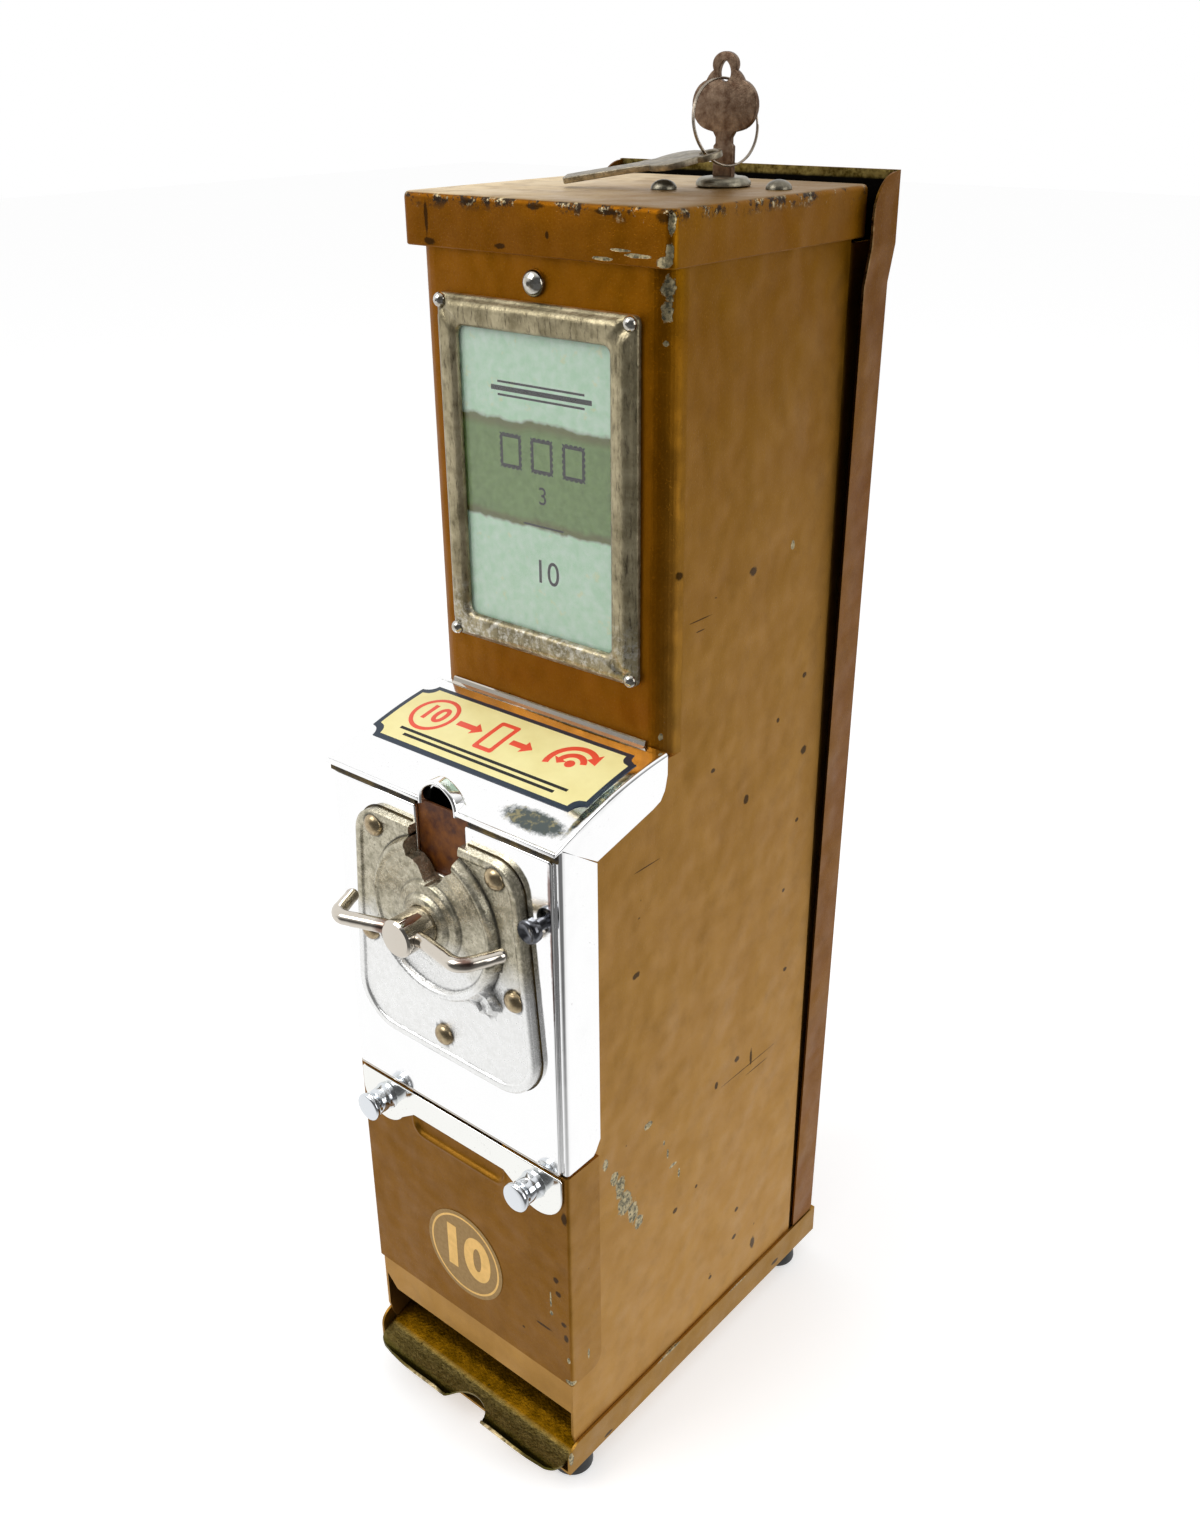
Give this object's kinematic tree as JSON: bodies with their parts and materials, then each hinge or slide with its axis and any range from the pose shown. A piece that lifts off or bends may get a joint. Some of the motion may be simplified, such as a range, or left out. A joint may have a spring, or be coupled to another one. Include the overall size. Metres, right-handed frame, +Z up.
{
  "type": "stamp vending machine",
  "caption": "Tall counter-top stamp folder vending machine with window card, coin handle, cash drawer with pull knobs, delivery tray and locked lift-off cap.",
  "frame": {"origin": "middle of the footprint box, on the surface that the rubber feet stand on", "axes": "+X to the right as seen from the front, +Y to the back, +Z up"},
  "size_m": [0.121, 0.2006, 0.5204],
  "materials": {
    "bronze_paint": "old bronze metallic paint, chipped at the edges",
    "brown_paint": "reddish brown paint",
    "olive_paint": "dark olive paint, worn through on the lip",
    "rubber": "matt black",
    "steel": "dull zinc plate",
    "dark_steel": "dark oxidised rivets",
    "bright_steel": "polished dome heads",
    "key_steel": "worn brown nickel",
    "old_brass": "dull",
    "worn_nickel": "worn grey nickel plate",
    "glass": "clear pane",
    "printed_card": "stained mint green card",
    "sticker": "pale yellow label",
    "chrome": "polished, pitted in places",
    "rusted_steel": "rusty brown",
    "cast_plate": "plated casting, half worn",
    "rivet_brass": "worn plated domes",
    "folder_card": "plain buff card",
    "iron": "black",
    "decal": "thin pale gold film"
  },
  "bodies": {
    "cabinet": {"base_pan": "bronze_paint", "rubber_feet": "rubber", "foot_screws": "steel", "cabinet_body": "bronze_paint", "back_plate": "brown_paint", "back_screws": "steel", "latch_bracket": "steel", "window_frame": "worn_nickel", "window_glass": "glass", "price_card": "printed_card", "window_screws": "bright_steel", "top_screw": "bright_steel", "hood": "chrome", "instruction_plate": "sticker", "front_shell": "chrome", "front_plate": "chrome", "coin_backplate": "rusted_steel", "mech_plate": "cast_plate", "mech_rivets": "rivet_brass", "mech_frame": "steel", "shaft_bush": "old_brass", "slide_bed": "steel", "magazine": "steel", "folder_bundles": "folder_card", "coin_chute": "steel", "chute_duct": "steel", "delivery_tray": "olive_paint", "drawer_runners": "steel"},
    "cap": {"top_cap": "bronze_paint", "cap_rivets": "dark_steel", "lock_escutcheon": "old_brass", "lock_barrel": "old_brass", "lock_nut": "steel"},
    "lock_core": {"lock_plug": "old_brass", "lock_cam": "steel"},
    "key": {"key": "key_steel"},
    "ring": {"key_ring": "key_steel"},
    "spare": {"spare_key": "key_steel"},
    "handle": {"handle_shaft": "chrome", "handle_rod": "chrome", "coin_rotor": "steel", "sector_gear": "old_brass", "retaining_collar": "steel"},
    "cam": {"cam_plate": "steel"},
    "ejector": {"ejector_slide": "steel", "vended_folder": "folder_card"},
    "weight": {"follower_weight": "iron"},
    "button": {"coin_return_button": "chrome"},
    "drawer": {"drawer_front": "bronze_paint", "pull_strip": "chrome", "pull_knobs": "chrome", "price_decal": "decal", "cash_box": "steel"}
  },
  "joints": [
    {"name": "cap_lift", "type": "slide", "parent": "cabinet", "child": "cap", "axis": [0, 0, 1], "range_m": [0, 0.06]},
    {"name": "lock_turn", "type": "hinge", "parent": "cap", "child": "lock_core", "pos_m": [0.021, 0.05134, 0.461], "axis": [0, 0, 1], "range_deg": [0, 90]},
    {"name": "key_draw", "type": "slide", "parent": "lock_core", "child": "key", "axis": [0, 0, 1], "range_m": [0, 0.02]},
    {"name": "ring_swing", "type": "hinge", "parent": "key", "child": "ring", "pos_m": [0.021, 0.05134, 0.5127], "axis": [-0.9482, 0.2541, -0.1908], "range_deg": [0, 15]},
    {"name": "spare_swing", "type": "hinge", "parent": "ring", "child": "spare", "pos_m": [0.02248, 0.04, 0.49025], "axis": [0.3155, 0.6824, -0.6594], "range_deg": [0, 35]},
    {"name": "handle_turn", "type": "hinge", "parent": "cabinet", "child": "handle", "pos_m": [0.001, -0.07266, 0.252], "axis": [0, 1, 0], "range_deg": [0, 110]},
    {"name": "cam_travel", "type": "slide", "parent": "cabinet", "child": "cam", "axis": [-1, 0, 0], "range_m": [0, 0.02592]},
    {"name": "ejector_travel", "type": "slide", "parent": "cabinet", "child": "ejector", "axis": [0, 1, 0], "range_m": [0, 0.03888]},
    {"name": "weight_lift", "type": "slide", "parent": "cabinet", "child": "weight", "axis": [0, 0, 1], "range_m": [0, 0.095]},
    {"name": "button_push", "type": "slide", "parent": "cabinet", "child": "button", "axis": [0, 1, 0], "range_m": [0, 0.003], "stiffness_N_per_m": 300, "springref_m": -0.002},
    {"name": "drawer_pull", "type": "slide", "parent": "cabinet", "child": "drawer", "axis": [0, -1, 0], "range_m": [0, 0.085]}
  ],
  "couplings": [
    {"joint": "cam_travel", "follows": "handle_turn", "m_per_rad": 0.0135},
    {"joint": "ejector_travel", "follows": "handle_turn", "m_per_rad": 0.02025}
  ]
}
